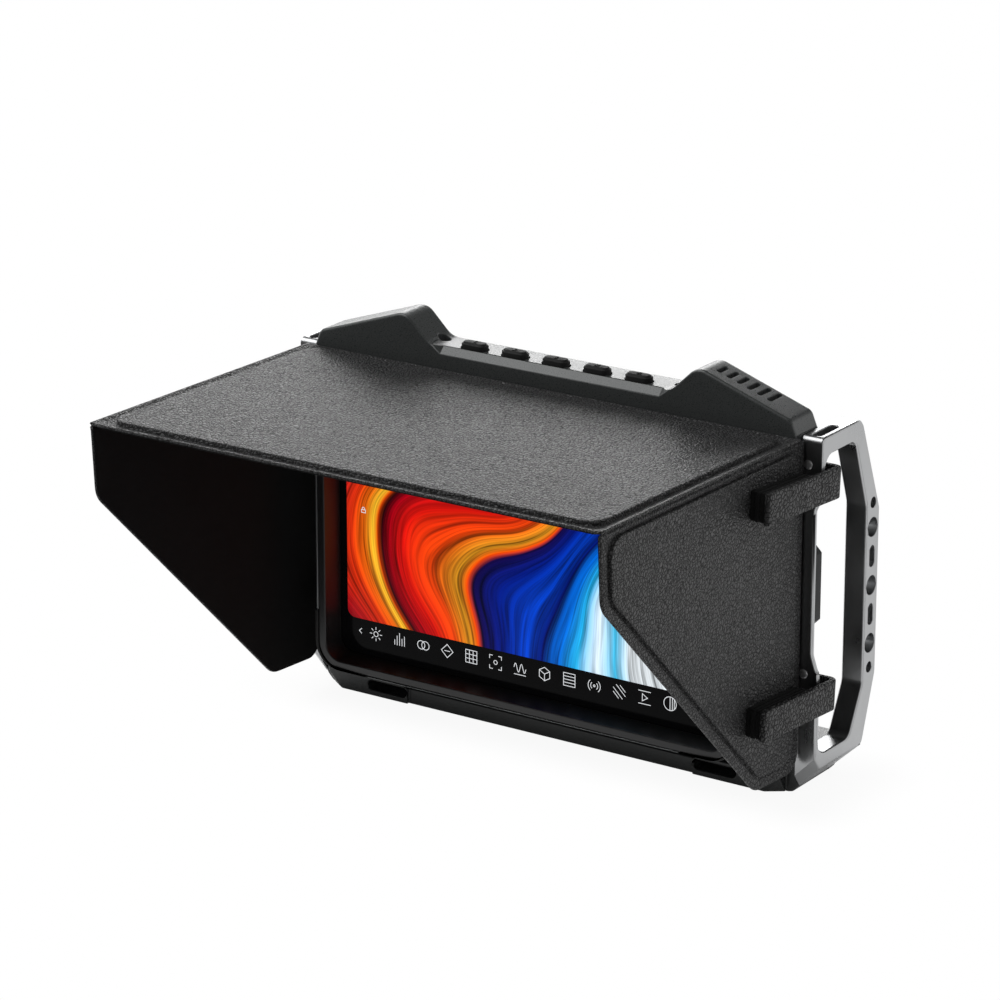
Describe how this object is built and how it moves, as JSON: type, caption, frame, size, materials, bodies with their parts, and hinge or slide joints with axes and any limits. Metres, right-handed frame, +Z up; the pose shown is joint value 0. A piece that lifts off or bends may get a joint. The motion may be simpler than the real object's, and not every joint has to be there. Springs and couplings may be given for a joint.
{
  "type": "camera field monitor with sun hood",
  "caption": "Touch screen field monitor in a metal cage with two side handles, a top control ridge and a folding leatherette sun hood strapped to the cage.",
  "frame": {"origin": "mouth of the tripod thread in the middle of the bottom rail's underside", "axes": "+X right seen from the front, +Y from the screen to the back, +Z up"},
  "size_m": [0.209, 0.1591, 0.139],
  "materials": {
    "handle_metal": "satin bead blasted",
    "dark_metal": "fine matt powder coat",
    "steel": "satin",
    "dark_steel": "black oxide",
    "bezel_plastic": "fine matt moulding",
    "bumper_rubber": "matt",
    "rim_metal": "satin anodised",
    "cover_glass": "clear gloss",
    "display": "lit picture",
    "diffuser": "smooth",
    "chassis_metal": "plain",
    "circuit_board": "solder resist",
    "antenna_board": "bare laminate",
    "shell_plastic": "spark eroded matt",
    "fan_plastic": "smooth",
    "contact_brass": "polished",
    "latch_plastic": "ribbed matt",
    "button_rubber": "silicone, matt",
    "leatherette": "grained",
    "lining": "matt black flock",
    "strap_leather": "coarse grained",
    "strap_pad": "hook and loop tape"
  },
  "bodies": {
    "root": {"handle_right": "handle_metal", "handle_left": "handle_metal", "bottom_rail": "dark_metal", "thread_insert": "steel", "handle_studs": "steel", "pillar_pins": "steel", "control_ridge": "dark_metal", "ridge_screws": "dark_steel", "button_board": "circuit_board", "button_switches": "dark_steel", "antenna_left": "antenna_board", "antenna_right": "antenna_board", "bezel_frame": "bezel_plastic", "corner_bumpers": "bumper_rubber", "rim_strips": "rim_metal", "cover_glass": "cover_glass", "lcd_panel": "display", "backlight": "diffuser", "chassis_plate": "chassis_metal", "main_board": "circuit_board", "radio_module": "steel", "heat_sink": "chassis_metal", "fan_housing": "fan_plastic", "rear_shell": "shell_plastic", "rear_screws": "dark_steel", "hdmi_ports": "steel", "usb_port": "steel", "dc_jack": "fan_plastic", "battery_plate_left": "latch_plastic", "battery_plate_right": "latch_plastic", "battery_contacts": "contact_brass", "hood_top_panel": "leatherette", "hood_top_board": "leatherette", "hood_top_lining": "lining", "strap_loops_right": "strap_leather", "strap_loops_left": "strap_leather"},
    "button_1_body": {"button_1": "button_rubber"},
    "button_2_body": {"button_2": "button_rubber"},
    "button_3_body": {"button_3": "button_rubber"},
    "button_4_body": {"button_4": "button_rubber"},
    "button_5_body": {"button_5": "button_rubber"},
    "fan": {"fan_rotor": "fan_plastic"},
    "latch_left": {"battery_latch_left": "latch_plastic"},
    "latch_right": {"battery_latch_right": "latch_plastic"},
    "wing_right": {"wing_right_panel": "leatherette", "wing_right_board": "leatherette", "wing_right_lining": "lining", "strap_upper_right": "strap_leather", "strap_lower_right": "strap_leather", "strap_pads_right": "strap_pad"},
    "wing_left": {"wing_left_panel": "leatherette", "wing_left_board": "leatherette", "wing_left_lining": "lining", "strap_upper_left": "strap_leather", "strap_lower_left": "strap_leather", "strap_pads_left": "strap_pad"}
  },
  "joints": [
    {"name": "wing_right_fold", "type": "hinge", "parent": "root", "child": "wing_right", "pos_m": [0.0959, -0.07, 0.12285], "axis": [0, -0.9998, 0.0216], "range_deg": [0, 90]},
    {"name": "wing_left_fold", "type": "hinge", "parent": "root", "child": "wing_left", "pos_m": [-0.0959, -0.07, 0.12285], "axis": [0, 0.9998, -0.0216], "range_deg": [0, 90]},
    {"name": "button_1_press", "type": "slide", "parent": "root", "child": "button_1_body", "axis": [0, 0, -1], "range_m": [0, 0.0007], "stiffness_N_per_m": 600},
    {"name": "button_2_press", "type": "slide", "parent": "root", "child": "button_2_body", "axis": [0, 0, -1], "range_m": [0, 0.0007], "stiffness_N_per_m": 600},
    {"name": "button_3_press", "type": "slide", "parent": "root", "child": "button_3_body", "axis": [0, 0, -1], "range_m": [0, 0.0007], "stiffness_N_per_m": 600},
    {"name": "button_4_press", "type": "slide", "parent": "root", "child": "button_4_body", "axis": [0, 0, -1], "range_m": [0, 0.0007], "stiffness_N_per_m": 600},
    {"name": "button_5_press", "type": "slide", "parent": "root", "child": "button_5_body", "axis": [0, 0, -1], "range_m": [0, 0.0007], "stiffness_N_per_m": 600},
    {"name": "fan_spin", "type": "hinge", "parent": "root", "child": "fan", "pos_m": [0.058, 0.01, 0.09], "axis": [0, 1, 0], "continuous": true},
    {"name": "latch_left_press", "type": "slide", "parent": "root", "child": "latch_left", "axis": [0, -1, 0], "range_m": [0, 0.002], "stiffness_N_per_m": 900},
    {"name": "latch_right_press", "type": "slide", "parent": "root", "child": "latch_right", "axis": [0, -1, 0], "range_m": [0, 0.002], "stiffness_N_per_m": 900}
  ]
}
